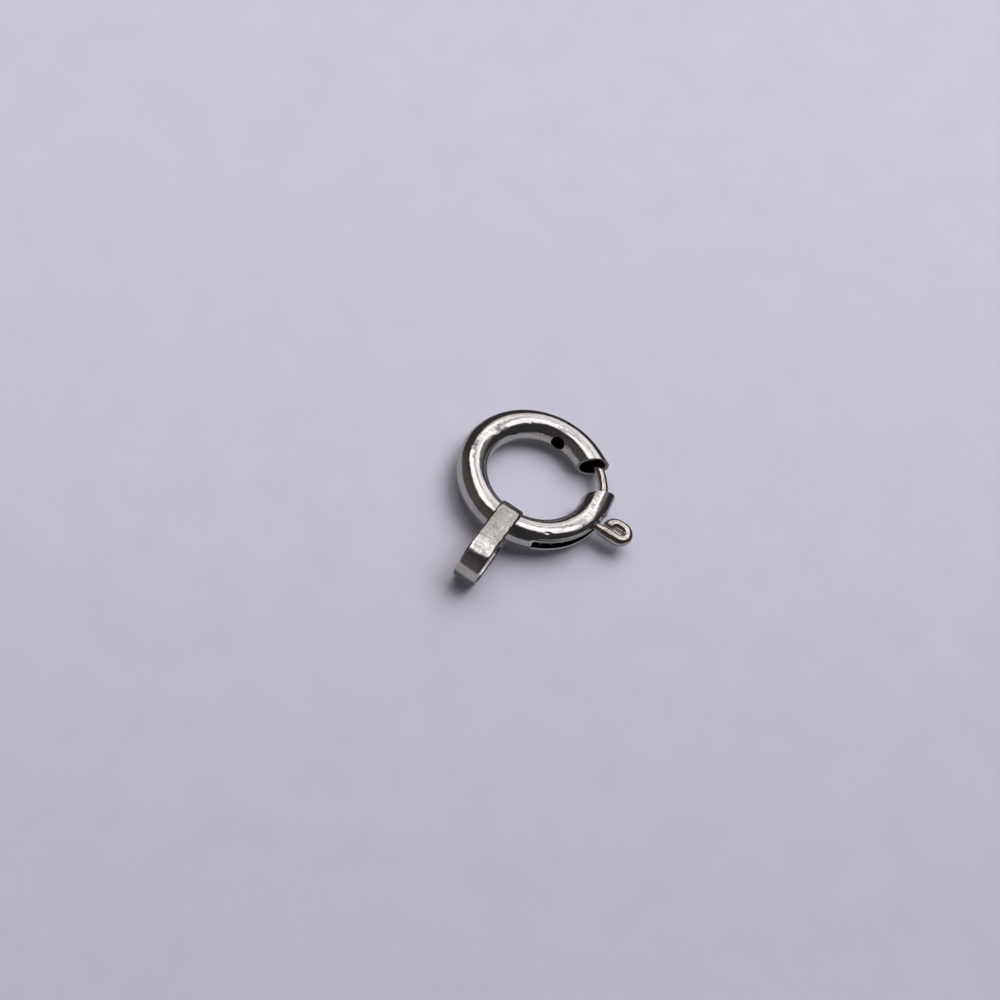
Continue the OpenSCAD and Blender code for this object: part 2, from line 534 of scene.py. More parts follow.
@dataclass(frozen=True)
class Hollow:
    """A long hollow in the tube's outer wall, along the slot.

    It starts and ends over spans of degrees past the slot's blind end. Its side is a
    span of degrees round the tube, from the slot's middle.
    """

    depth: float
    start: Span
    end: Span
    side: Span

    def at(self, turned: np.ndarray, line: np.ndarray) -> np.ndarray:
        """How deep the hollow is, this far past the blind end and this far round the tube."""
        run = smooth_step(turned, *self.start) * (1.0 - smooth_step(turned, *self.end))
        return self.depth * run * (1.0 - smooth_step(np.abs(line), *self.side))


@dataclass
class RingTube:
    """The bent tube, with its sawn gap, its slot, its side hole and its inner web."""

    ring_d: float = 6.0
    tube_d: float = 1.15
    wall: float = 0.12
    gap_at: float = 36.25
    gap_w: float = 1.44
    bend_from: float = 8.0
    bend_to: float = 61.0
    slot_from: float = -63.5
    slot_to: float = 7.0
    slot_h: float = 0.43
    hole_at: float = 93.0
    hole_d: float = 0.54
    hole_rise: float = 15.0
    web_at: float = -150.0
    web_half: float = 1.5
    web_bite: float = 0.04
    row_step: float = 1.25
    row_slack: float = 0.01
    lines: int = 128
    slot_lines: int = 12
    crowding: float = 0.6
    end_rows: int = 10
    hole_rows: float = 13.0
    hole_lines: int = 10
    hole_rings: int = 6
    halvings: int = 40
    web_lines: int = 48
    edge: float = 0.018
    sharp: float = 35.0
    dish: Hollow = Hollow(depth=0.02, start=(-4.0, 5.0), end=(62.0, 74.0), side=(35.0, 47.0))
    lips: Hollow = Hollow(depth=0.055, start=(-0.6, 0.6), end=(69.9, 71.1), side=(20.0, 33.0))
    ripple: Ripple = Ripple(height=0.0011, length=0.9, seed=4)
    ripple_round: float = 2.0
    dents: tuple[Dent, ...] = (
        Dent(at=-54.0, round_tube=66.0, size=0.06, depth=0.012),
        Dent(at=-52.0, round_tube=64.0, size=0.05, depth=0.010),
        Dent(at=128.0, round_tube=113.0, size=0.08, depth=0.010),
        Dent(at=171.0, round_tube=124.0, size=0.07, depth=0.008),
        Dent(at=156.0, round_tube=122.0, size=0.06, depth=0.008),
    )

    @property
    def tube_r(self) -> float:
        """Outer radius of the tube."""
        return self.tube_d / 2

    @property
    def bore_r(self) -> float:
        """Radius of the bore."""
        return self.tube_r - self.wall

    @property
    def ring_r(self) -> float:
        """Radius of the tube's centre line."""
        return self.ring_d / 2 - self.tube_r

    def slot_edge(self, radius: float) -> float:
        """Angle round the tube, in degrees, where the slot cuts a face of this radius."""
        return math.degrees(math.asin(self.slot_h / 2 / radius))

    def line_angles(self, radius: float) -> np.ndarray:
        """Angles round the tube, from the slot's lower edge upward and round, closest by the slot.

        Args:
            radius: The face's radius.

        Returns:
            Degrees above the outer equator, one for each line.
        """
        edge = self.slot_edge(radius)
        across = np.linspace(-edge, edge, self.slot_lines + 1)[:-1]
        share = np.linspace(0.0, 1.0, self.lines - self.slot_lines + 1)[:-1]
        share = share - self.crowding * np.sin(2.0 * math.pi * share) / (2.0 * math.pi)
        return np.concatenate([across, edge + (360.0 - 2.0 * edge) * share])

    def stations(self) -> np.ndarray:
        """Where the rows of the bent part are.

        Returns:
            Ring angles in degrees, from the mouth round to the open end.
        """
        marks = [
            self.bend_to, self.hole_at - self.hole_rows, self.hole_at + self.hole_rows,
            self.slot_from + 360.0, self.slot_to + 360.0, self.bend_from + 360.0,
        ]
        rows = [np.array([marks[0]])]
        for start, end in zip(marks, marks[1:]):
            steps = max(1, round((end - start) / self.row_step))
            rows.append(np.linspace(start, end, steps + 1)[1:])
        return np.concatenate(rows)

    def skin(self, at: np.ndarray, line: np.ndarray, radius: float) -> np.ndarray:
        """Radius of a face of the tube, with its dish and lips at the slot, dents and ripple.

        Args:
            at: Ring angles in degrees.
            line: Angles round the tube in degrees.
            radius: The plain radius.

        Returns:
            Radii in millimetres.
        """
        if radius < self.tube_r:
            return np.full(np.broadcast(at, line).shape, radius)
        line = wrapped(line)
        along = np.radians(at) * self.ring_r
        around = np.radians(line) * radius
        face = radius + self.ripple.at(along, np.sin(np.radians(line)) * self.ripple_round)
        turned = wrapped(at - self.slot_from)
        for hollow in (self.dish, self.lips):
            face = face - hollow.at(turned, line)
        for dent in self.dents:
            out = self.ring_r + radius * math.cos(math.radians(dent.round_tube))
            off_x = np.radians(wrapped(at - dent.at)) * out
            off_y = around - math.radians(dent.round_tube) * radius
            face = face - dent.depth * np.exp(-(off_x**2 + off_y**2) / dent.size**2)
        return face

    def bent(self, at: np.ndarray, line: np.ndarray, radius: float) -> np.ndarray:
        """Points on the bent tube.

        Args:
            at: Ring angles in degrees.
            line: Angles round the tube in degrees, above the outer equator.
            radius: The face's plain radius.

        Returns:
            Points in millimetres, with one more axis than the angles.
        """
        turn, tilt = np.radians(at), np.radians(line)
        face = self.skin(at, line, radius)
        return on_ring(self.ring_r + face * np.cos(tilt), turn, face * np.sin(tilt))

    def straight(self, end: float, heading: float, side: float, radius: float) -> np.ndarray:
        """Rows on a straight end, from the bend to the sawn face.

        Args:
            end: Ring angle where the bend stops.
            heading: Direction of the straight end, in degrees.
            side: 1 for the mouth and -1 for the open end.
            radius: The face's plain radius.

        Returns:
            Points in millimetres, end_rows rows of them, the sawn face's row last.
        """
        start = self.bent(np.full(self.lines, end), self.line_angles(radius), radius)
        along = unit(heading)
        across = unit(self.gap_at + 90.0)
        reach = (side * self.gap_w / 2 - start @ across) / (along @ across)
        shares = np.linspace(0.0, 1.0, self.end_rows + 1)[1:]
        return start[None] + shares[:, None, None] * reach[None, :, None] * along

    def face_rows(self, radius: float) -> np.ndarray:
        """All rows of one face of the tube.

        Args:
            radius: The face's plain radius.

        Returns:
            Points in millimetres, from the mouth's sawn edge to the open end's.
        """
        lines = self.line_angles(radius)
        bend = self.bent(self.stations()[:, None], lines[None], radius)
        mouth = self.straight(self.bend_to, self.bend_to - 90.0, 1.0, radius)
        tail = self.straight(self.bend_from, self.bend_from + 90.0, -1.0, radius)
        return np.concatenate([mouth[::-1], bend, tail])

    def kept(self) -> np.ndarray:
        """Which faces stay between the rows.

        Returns:
            A table that is false at the slot and round the side hole.
        """
        lead = self.end_rows
        at = self.stations()
        keep = np.ones((len(at) - 1 + 2 * lead, self.lines), bool)
        middle = (at[1:] + at[:-1]) / 2
        slot_rows = (middle > self.slot_from + 360.0) & (middle < self.slot_to + 360.0)
        keep[lead:-lead][slot_rows, :self.slot_lines] = False
        hole_rows = np.abs(middle - self.hole_at) < self.hole_rows
        first, last = self.hole_span()
        keep[lead:-lead][hole_rows, first:last] = False
        return keep

    def hole_span(self) -> tuple[int, int]:
        """How far round the tube the patch reaches that the side hole is cut in.

        Returns:
            Its first and last line.
        """
        wanted = 180.0 - self.hole_rise
        middle = int(np.argmin(np.abs(self.line_angles(self.tube_r) - wanted)))
        return middle - self.hole_lines, middle + self.hole_lines

    def patch_rim(self) -> tuple[list[int], list[int]]:
        """The rim of the patch that the side hole is cut in.

        Returns:
            Rows and lines of its points, in order.
        """
        at = self.stations()
        rows = np.flatnonzero(np.abs(at - self.hole_at) < self.hole_rows + self.row_slack)
        low, high = int(rows[0]), int(rows[-1])
        first, last = self.hole_span()
        row_list = (
            list(range(low, high)) + [high] * (last - first)
            + list(range(high, low, -1)) + [low] * (last - first)
        )
        line_list = (
            [first] * (high - low) + list(range(first, last))
            + [last] * (high - low) + list(range(last, first, -1))
        )
        return row_list, line_list

    def hole_ring(self, spin: np.ndarray, radius: float) -> tuple[np.ndarray, np.ndarray]:
        """Where the side hole's cylinder meets a face of the tube.

        Args:
            spin: Angles round the hole's axis, in radians.
            radius: The face's plain radius.

        Returns:
            Ring angles and angles round the tube, in degrees.
        """
        rise = math.radians(self.hole_rise)
        axis = -unit(self.hole_at) * math.cos(rise) + np.array([0.0, 0.0, math.sin(rise)])
        along = unit(self.hole_at + 90.0)
        down = np.cross(axis, along)
        bore = self.hole_d / 2 * (np.cos(spin)[:, None] * along + np.sin(spin)[:, None] * down)
        low, high = np.zeros(len(spin)), np.full(len(spin), 2.0 * radius)
        for _ in range(self.halvings):
            reach = (low + high) / 2
            point = unit(self.hole_at) * self.ring_r + bore + reach[:, None] * axis
            off = np.hypot(np.hypot(point[:, 0], point[:, 1]) - self.ring_r, point[:, 2])
            low, high = np.where(off < radius, reach, low), np.where(off < radius, high, reach)
        outward = np.hypot(point[:, 0], point[:, 1]) - self.ring_r
        around = np.degrees(np.arctan2(point[:, 2], outward)) % 360.0
        return np.degrees(np.arctan2(point[:, 1], point[:, 0])), around

    def cut_hole(self, draft: MeshDraft, ids: np.ndarray, radius: float, tone: int) -> np.ndarray:
        """Fills the patch round the side hole on one face.

        Args:
            draft: Where the points and faces go.
            ids: The face's point numbers.
            radius: The face's plain radius.
            tone: Number of the material that the faces take.

        Returns:
            Point numbers of the hole's edge, in order.
        """
        rows, lines = self.patch_rim()
        rim_at = self.stations()[rows]
        rim_line = self.line_angles(radius)[lines]
        out = self.ring_r + radius * math.cos(math.radians(180.0 - self.hole_rise))
        off_x = np.radians(rim_at - self.hole_at) * out
        off_y = np.radians(rim_line - (180.0 - self.hole_rise)) * radius
        spin = np.unwrap(np.arctan2(off_y, off_x))
        edge_at, edge_line = self.hole_ring(spin, radius)
        loops = [ids[np.array(rows) + self.end_rows, lines]]
        for step in range(1, self.hole_rings + 1):
            share = math.sin(math.pi / 2 * step / self.hole_rings)
            at = rim_at + (edge_at - rim_at) * share
            line = rim_line + (edge_line - rim_line) * share
            loops.append(draft.points(self.bent(at, line, radius)))
        draft.quads(np.stack(loops), tone=tone)
        return loops[-1]

    def slot_rim(self, ids: np.ndarray) -> np.ndarray:
        """Finds the slot's edge on one face.

        Args:
            ids: The face's point numbers.

        Returns:
            Point numbers round the edge, in order.
        """
        at = self.stations()
        past = at > self.slot_from + 360.0 - self.row_slack
        short = at < self.slot_to + 360.0 + self.row_slack
        rows = np.flatnonzero(past & short) + self.end_rows
        low, high = int(rows[0]), int(rows[-1])
        top = ids[low:high, 0]
        far = ids[high, 0:self.slot_lines]
        bottom = ids[high:low:-1, self.slot_lines]
        near = ids[low, self.slot_lines:0:-1]
        return np.concatenate([top, far, bottom, near])

    def web(self, draft: MeshDraft) -> None:
        """Adds the web across the bore that the spring bears on.

        Args:
            draft: Where the points and faces go.
        """
        radius = self.bore_r + self.web_bite
        tilt = round_once(self.web_lines)[None]
        at = np.array([self.web_at - self.web_half, self.web_at + self.web_half]) + 360.0
        out = self.ring_r + radius * np.cos(tilt)
        ids = draft.points(on_ring(out, np.radians(at)[:, None], radius * np.sin(tilt)))
        draft.quads(ids)
        for row, angle in zip(ids, at):
            draft.fan(row, unit(angle) * self.ring_r)

    def build(self, plane: RingPlane) -> bpy.types.Object:
        """Makes the tube.

        Args:
            plane: Where the ring's plane lies.

        Returns:
            The tube as one object.
        """
        draft = MeshDraft()
        keep = self.kept()
        faces, holes = [], []
        for tone, radius in ((Tone.POLISHED, self.tube_r), (Tone.BORE, self.bore_r)):
            ids = draft.points(self.face_rows(radius))
            draft.quads(ids, keep, tone)
            holes.append(self.cut_hole(draft, ids, radius, tone))
            faces.append(ids)
        outer, inner = faces
        draft.quads(np.stack([outer[0], inner[0]]), tone=Tone.SAWN)
        draft.quads(np.stack([outer[-1], inner[-1]]), tone=Tone.SAWN)
        draft.quads(np.stack([self.slot_rim(outer), self.slot_rim(inner)]), tone=Tone.SAWN)
        draft.quads(np.stack(holes), tone=Tone.BORE)
        piece = draft.mesh("ring_tube_polished", plane)
        ease_edges(piece, self.edge, self.sharp)
        inside = MeshDraft()
        self.web(inside)
        web = inside.mesh("ring_tube_web", plane)
        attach(web, Body.CASE.value)
        web.data.materials.append(SHADED_BORE_METAL.build())
        return piece

    def dress(self, plane: RingPlane) -> bpy.types.Object:
        """Builds the tube, gives it its finish and hands it to its body.

        Args:
            plane: Where the ring's plane lies.

        Returns:
            The tube.
        """
        piece = self.build(plane)
        for metal in (CASE_METAL, SHADED_BORE_METAL, SAWN_METAL):
            piece.data.materials.append(metal.build())
        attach(piece, Body.CASE.value)
        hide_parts("ring_tube")
        return piece


@dataclass
class Bail:
    """The flat strap wrapped round the tube and carried outward as a long eye.

    Its knocks lie on the upper leg, within knock_run of the tube. Their depth is a share
    of their size.
    """

    ring_r: float
    tube_r: float
    width: float = 0.9
    thick: float = 0.18
    wrap_shift: float = 0.09
    reach: float = 5.35
    bend_r: float = 0.94
    gap: float = 0.02
    at: float = -90.0
    edge_w: float = 0.13
    crown: float = 0.006
    arc_step: float = 2.5
    leg_rows: int = 90
    edge_lines: int = 8
    flat_lines: int = 32
    face_from: float = 0.45
    knocks: int = 60
    knock_seed: int = 12
    knock_run: float = 1.9
    knock_side: float = 0.42
    knock_size: Span = (0.03, 0.09)
    knock_depth: Span = (0.06, 0.16)
    knock_long: float = 1.4
    ripple: Ripple = Ripple(height=0.0016, length=0.55, seed=11)

    @property
    def wrap_x(self) -> float:
        """Where the bend round the tube has its centre."""
        return self.ring_r + self.wrap_shift

    @property
    def wrap_r(self) -> float:
        """Radius of the strap's middle line round the tube."""
        return self.tube_r + self.gap + self.thick / 2

    @property
    def tip_r(self) -> float:
        """Radius of the strap's middle line at the tip."""
        return self.bend_r - self.thick / 2

    @property
    def tip_x(self) -> float:
        """Where the bend at the tip has its centre."""
        return self.reach - self.bend_r

    def route(self) -> tuple[np.ndarray, np.ndarray]:
        """The strap's middle line, once round.

        Returns:
            Points of x and height, and the outward direction at each of them.
        """
        spread = math.degrees(math.asin((self.tip_r - self.wrap_r) / (self.tip_x - self.wrap_x)))
        places, sides = [], []

        def arc(x: float, radius: float, start: float, end: float) -> None:
            """Adds a bend round a point on the middle line.

            Args:
                x: The point.
                radius: The bend's radius.
                start: Angle where the bend starts, in degrees.
                end: Angle where it ends.
            """
            steps = max(2, round(abs(end - start) / self.arc_step))
            for angle in np.linspace(start, end, steps + 1):
                side = unit(angle)[:2]
                places.append(np.array([x, 0.0]) + radius * side)
                sides.append(side)

        def leg(start: np.ndarray, end: np.ndarray, side: np.ndarray) -> None:
            """Adds the places between two bends.

            Args:
                start: Last place of the first bend.
                end: First place of the second bend.
                side: The outward direction.
            """
            for share in np.linspace(0.0, 1.0, self.leg_rows + 1)[1:-1]:
                places.append(start + (end - start) * share)
                sides.append(side)

        arc(self.wrap_x, self.wrap_r, 90.0 + spread, 270.0 - spread)
        low = unit(270.0 - spread)[:2]
        leg(places[-1], np.array([self.tip_x, 0.0]) + self.tip_r * low, low)
        arc(self.tip_x, self.tip_r, -90.0 - spread, 90.0 + spread)
        leg(places[-1], places[0], unit(90.0 + spread)[:2])
        return np.array(places), np.array(sides)

    def section(self) -> np.ndarray:
        """Outline of the strap, round it once.

        Returns:
            Places across its width and through its thickness.
        """
        half_w, half_t = self.width / 2, self.thick / 2
        quarter = np.radians(np.linspace(0.0, 90.0, self.edge_lines + 1))
        flat = half_w - self.edge_w
        edge = [flat + self.edge_w * np.cos(quarter), half_t * np.sin(quarter)]
        edge = np.stack(edge, axis=-1)
        across = np.linspace(flat, -flat, self.flat_lines + 1)[1:-1]
        face = np.stack([across, np.full(len(across), half_t)], axis=-1)
        upper = np.concatenate([edge, face, edge[::-1] * [-1.0, 1.0]])
        return np.concatenate([upper, upper[-2:0:-1] * [1.0, -1.0]])

    def points(self) -> np.ndarray:
        """Points of the strap in the ring's plane.

        Returns:
            Points in millimetres, a row for each place along the strap.
        """
        places, sides = self.route()
        outline = self.section()
        steps = np.linalg.norm(np.roll(places, -1, axis=0) - places, axis=1)
        along = np.concatenate([[0.0], np.cumsum(steps)[:-1]])[:, None]
        across = outline[None, :, 0]
        through = np.broadcast_to(outline[None, :, 1], (len(places), len(outline)))
        face = np.abs(through) > self.thick * self.face_from
        bow = self.crown * (across / (self.width / 2)) ** 2
        worked = self.ripple.at(along, across) * np.sin(math.pi * along / along.max()) ** 2
        through = through - np.sign(through) * bow * face + worked
        through = through - self.wear(along, across) * face * (outline[None, :, 1] > 0.0)
        out = places[:, None, 0] + sides[:, None, 0] * through
        high = places[:, None, 1] + sides[:, None, 1] * through
        along_bail, along_ring = unit(self.at), unit(self.at + 90.0)
        flat = out[..., None] * along_bail + across[..., None] * along_ring
        flat[..., 2] = high
        return self.off_the_tube(flat)

    def wear(self, along: np.ndarray, across: np.ndarray) -> np.ndarray:
        """Depth of the small knocks on the upper leg.

        Args:
            along: Distance along the strap, in millimetres.
            across: Distance from the strap's middle line, in millimetres.

        Returns:
            Depth in millimetres.
        """
        draw = np.random.default_rng(self.knock_seed)
        total = np.zeros(np.broadcast(along, across).shape)
        for _ in range(self.knocks):
            place = along.max() - draw.uniform(0.0, self.knock_run)
            side = draw.uniform(-self.knock_side, self.knock_side)
            size = draw.uniform(*self.knock_size)
            turn = draw.uniform(0.0, math.pi)
            first = (along - place) * math.cos(turn) + (across - side) * math.sin(turn)
            second = (across - side) * math.cos(turn) - (along - place) * math.sin(turn)
            away = (first**2 + (second / self.knock_long) ** 2) / size**2
            total += draw.uniform(*self.knock_depth) * size * np.exp(-away)
        return total

    def off_the_tube(self, points: np.ndarray) -> np.ndarray:
        """Moves what would cut into the tube out to the clearance round it.

        Args:
            points: Points of the strap, in millimetres.

        Returns:
            The points, moved where they have to be.
        """
        flat = np.hypot(points[..., 0], points[..., 1])
        off = np.hypot(flat - self.ring_r, points[..., 2])
        need = self.tube_r + self.gap
        scale = np.where(off < need, need / np.maximum(off, TINY), 1.0)
        new_flat = self.ring_r + (flat - self.ring_r) * scale
        moved = points.copy()
        moved[..., :2] = points[..., :2] * (new_flat / flat)[..., None]
        moved[..., 2] = points[..., 2] * scale
        return moved

    def dress(self, plane: RingPlane) -> bpy.types.Object:
        """Builds the strap, gives it its finish and hands it to its body.

        Args:
            plane: Where the ring's plane lies.

        Returns:
            The strap.
        """
        draft = MeshDraft()
        ids = draft.points(self.points())
        draft.quads(np.concatenate([ids, ids[:1]]))
        piece = draft.mesh("bail_strap", plane)
        piece.data.materials.append(STRAP_METAL.build())
        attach(piece, Body.CASE.value)
        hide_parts("bail")
        return piece


@dataclass
class Tongue:
    """The sliding wire: the bar across the gap, the elbow and the thumb loop.

    It thickens over a span outside the ring.
    """

    ring_r: float
    bore_r: float
    outer_r: float
    wire_d: float = 0.38
    gap: float = 0.045
    tip_at: float = 61.0
    tip_round: float = 0.08
    thumb_at: float = 0.75
    reach: float = 4.24
    loop_wire_d: float = 0.44
    thickens: Span = (0.02, 0.1)
    bend_r: float = 0.3
    shift: float = 0.04
    near_turn: float = 92.0
    elbow_r: float = 0.3
    loop_gap: float = 0.03
    row_step: float = 0.04
    elbow_rows: int = 30
    bend_rows: int = 60
    near_rows: int = 32
    sides: int = 40
    tip_share: float = 0.45
    end_round: float = 0.035
    ripple: Ripple = Ripple(height=0.0022, length=0.36, seed=23)
    ripple_round: float = 0.4

    @property
    def wire_r(self) -> float:
        """Radius of the wire."""
        return self.wire_d / 2

    @property
    def slide_r(self) -> float:
        """Radius of the circle that the wire's middle slides on."""
        return self.ring_r + self.bore_r - self.gap - self.wire_r

    def route(self) -> np.ndarray:
        """The wire's middle line.

        Returns:
            Points in millimetres, from the tip to the end beside the tube.
        """
        half = self.bend_r + self.loop_wire_d / 2
        far_bend = np.array([self.reach - half, -self.shift])
        near_bend = np.array([self.outer_r + self.loop_gap + half, -self.shift])
        elbow_reach = self.slide_r + self.elbow_r
        turn = math.degrees(math.asin((self.elbow_r - self.shift - self.bend_r) / elbow_reach))
        pivot = elbow_reach * unit(turn)[:2]
        first = self.tip_at - self.thumb_at
        count = self.steps(first - turn, self.slide_r)
        places = on_arc(np.zeros(2), self.slide_r, np.linspace(first, turn, count))
        elbow = np.linspace(180.0 + turn, 270.0, self.elbow_rows)[1:]
        places.extend(on_arc(pivot, self.elbow_r, elbow))
        self.run(places, far_bend - [0.0, self.bend_r])
        far = np.linspace(-90.0, 90.0, self.bend_rows)[1:]
        places.extend(on_arc(far_bend, self.bend_r, far))
        self.run(places, near_bend + [0.0, self.bend_r])
        near = np.linspace(90.0, 90.0 + self.near_turn, self.near_rows)[1:]
        places.extend(on_arc(near_bend, self.bend_r, near))
        flat = np.array(places)
        return np.concatenate([flat, np.zeros((len(flat), 1))], axis=1)

    def steps(self, turn: float, radius: float) -> int:
        """How many places an arc of this many degrees is given."""
        return max(3, round(math.radians(turn) * radius / self.row_step))

    def run(self, places: list[np.ndarray], end: np.ndarray) -> None:
        """Adds a straight stretch to a route.

        Args:
            places: The route so far.
            end: Where the stretch ends.
        """
        start = places[-1]
        count = max(2, round(float(np.linalg.norm(end - start)) / self.row_step))
        shares = np.linspace(0.0, 1.0, count + 1)[1:]
        places.extend(start + (end - start) * share for share in shares)

    def points(self) -> np.ndarray:
        """Points of the wire before it is turned to the thumb loop's place.

        Returns:
            Points in millimetres, a row for each place along the wire.
        """
        line = self.route()
        up = np.broadcast_to([0.0, 0.0, 1.0], line.shape)
        side = np.cross(headings(line), up)
        spin = round_once(self.sides)
        steps = np.linalg.norm(np.diff(line, axis=0), axis=1)
        along = np.concatenate([[0.0], np.cumsum(steps)])[:, None]
        thick = smooth_step(line[:, :1] - self.outer_r, *self.thickens)
        face = self.wire_r + (self.loop_wire_d / 2 - self.wire_r) * thick
        face = face + self.ripple.at(along, np.cos(spin)[None] * self.ripple_round)
        face = face - self.end_cut(along, self.tip_round, self.tip_share)
        face = face - self.end_cut(along[-1] - along, self.end_round, 1.0)
        return line[:, None] + face[..., None] * spokes(spin, side, up)

    def end_cut(self, distance: np.ndarray, size: float, share: float) -> np.ndarray:
        """How much slimmer the wire is near an end, as a rounded edge of this size."""
        left = np.clip(1.0 - distance / size, 0.0, 1.0)
        return share * size * (1.0 - np.sqrt(np.maximum(1.0 - left**2, 0.0)))

    def dress(self, plane: RingPlane) -> bpy.types.Object:
        """Builds the wire, gives it its finish and hands it to its body.

        Args:
            plane: Where the ring's plane lies.

        Returns:
            The wire.
        """
        made = self.points()
        turn = math.radians(self.thumb_at)
        spin = np.array([
            [math.cos(turn), -math.sin(turn), 0.0],
            [math.sin(turn), math.cos(turn), 0.0],
            [0.0, 0.0, 1.0],
        ])
        made = made @ spin.T
        draft = MeshDraft()
        ids = draft.points(made)
        draft.quads(ids)
        draft.fan(ids[0], made[0].mean(axis=0))
        draft.fan(ids[-1], made[-1].mean(axis=0))
        piece = draft.mesh("tongue_wire", plane)
        piece.data.materials.append(TONGUE_METAL.build())
        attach(piece, Body.SLIDER.value)
        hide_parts("tongue")
        return piece


@dataclass
class CoilSpring:
    """The coil spring in the tube behind the tongue."""

    ring_r: float
    web_at: float
    web_half: float
    wire_d: float = 0.15
    coil_d: float = 0.78
    start_at: float = -11.75
    seat: float = 0.03
    turns: int = 15
    rings_a_turn: int = 30
    sides: int = 10

    def end(self) -> float:
        """Ring angle of the coil's last ring, just clear of the web."""
        clear = (self.wire_d / 2 + self.seat) / self.ring_r
        return self.web_at + self.web_half + math.degrees(clear)

    def line(self, share: np.ndarray) -> tuple[np.ndarray, np.ndarray]:
        """The wire's middle line.

        Args:
            share: Places along the coil, from 0 at the tongue to 1 at the web.

        Returns:
            Points in millimetres, and their directions away from the tube's centre line.
        """
        turn = np.radians(self.start_at + (self.end() - self.start_at) * share)
        spin = 2.0 * math.pi * self.turns * share
        away = on_ring(np.cos(spin), turn, np.sin(spin))
        middle = on_ring(self.ring_r, turn, 0.0)
        return middle + (self.coil_d - self.wire_d) / 2 * away, away

    def dress(self, plane: RingPlane) -> bpy.types.Object:
        """Builds the coil and gives it its finish.

        Args:
            plane: Where the ring's plane lies.

        Returns:
            The coil.
        """
        share = np.linspace(0.0, 1.0, self.turns * self.rings_a_turn + 1)
        line, away = self.line(share)
        around = spokes(round_once(self.sides), away, np.cross(headings(line), away))
        draft = MeshDraft()
        ids = draft.points(line[:, None] + self.wire_d / 2 * around)
        draft.quads(ids)
        draft.fan(ids[0], line[0])
        draft.fan(ids[-1], line[-1])
        piece = draft.mesh("spring_coil", plane)
        piece.data.materials.append(SHADED_SPRING_METAL.build())
        start = plane.lay(unit(self.end()) * self.ring_r)
        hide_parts("spring")
        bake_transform(piece)
        return piece


@dataclass(frozen=True)
class Edge:
    """A soft edge across the window's plane, at a mix of rightward and upward."""

    right: float
    above: float
    span: Span
    to: Span = (0.0, 1.0)
    shift: float = 0.0

    def across(self, graph: Graph, flat: Source) -> Socket:
        """How far across the edge's line a place in the window's plane is."""
        return graph.maths("ADD", graph.along(flat, (self.right, self.above, 0.0)), self.shift)

    def ease(self, graph: Graph, flat: Source) -> Socket:
        """Eases from one side of the edge to the other."""
        return graph.ramp(self.across(graph, flat), self.span, self.to)

    def ease_off(self, graph: Graph, flat: Source) -> Socket:
        """Eases away from the edge's line, the same on both sides."""
        away = graph.maths("ABSOLUTE", self.across(graph, flat), 0.0)
        return graph.ramp(away, self.span, self.to)


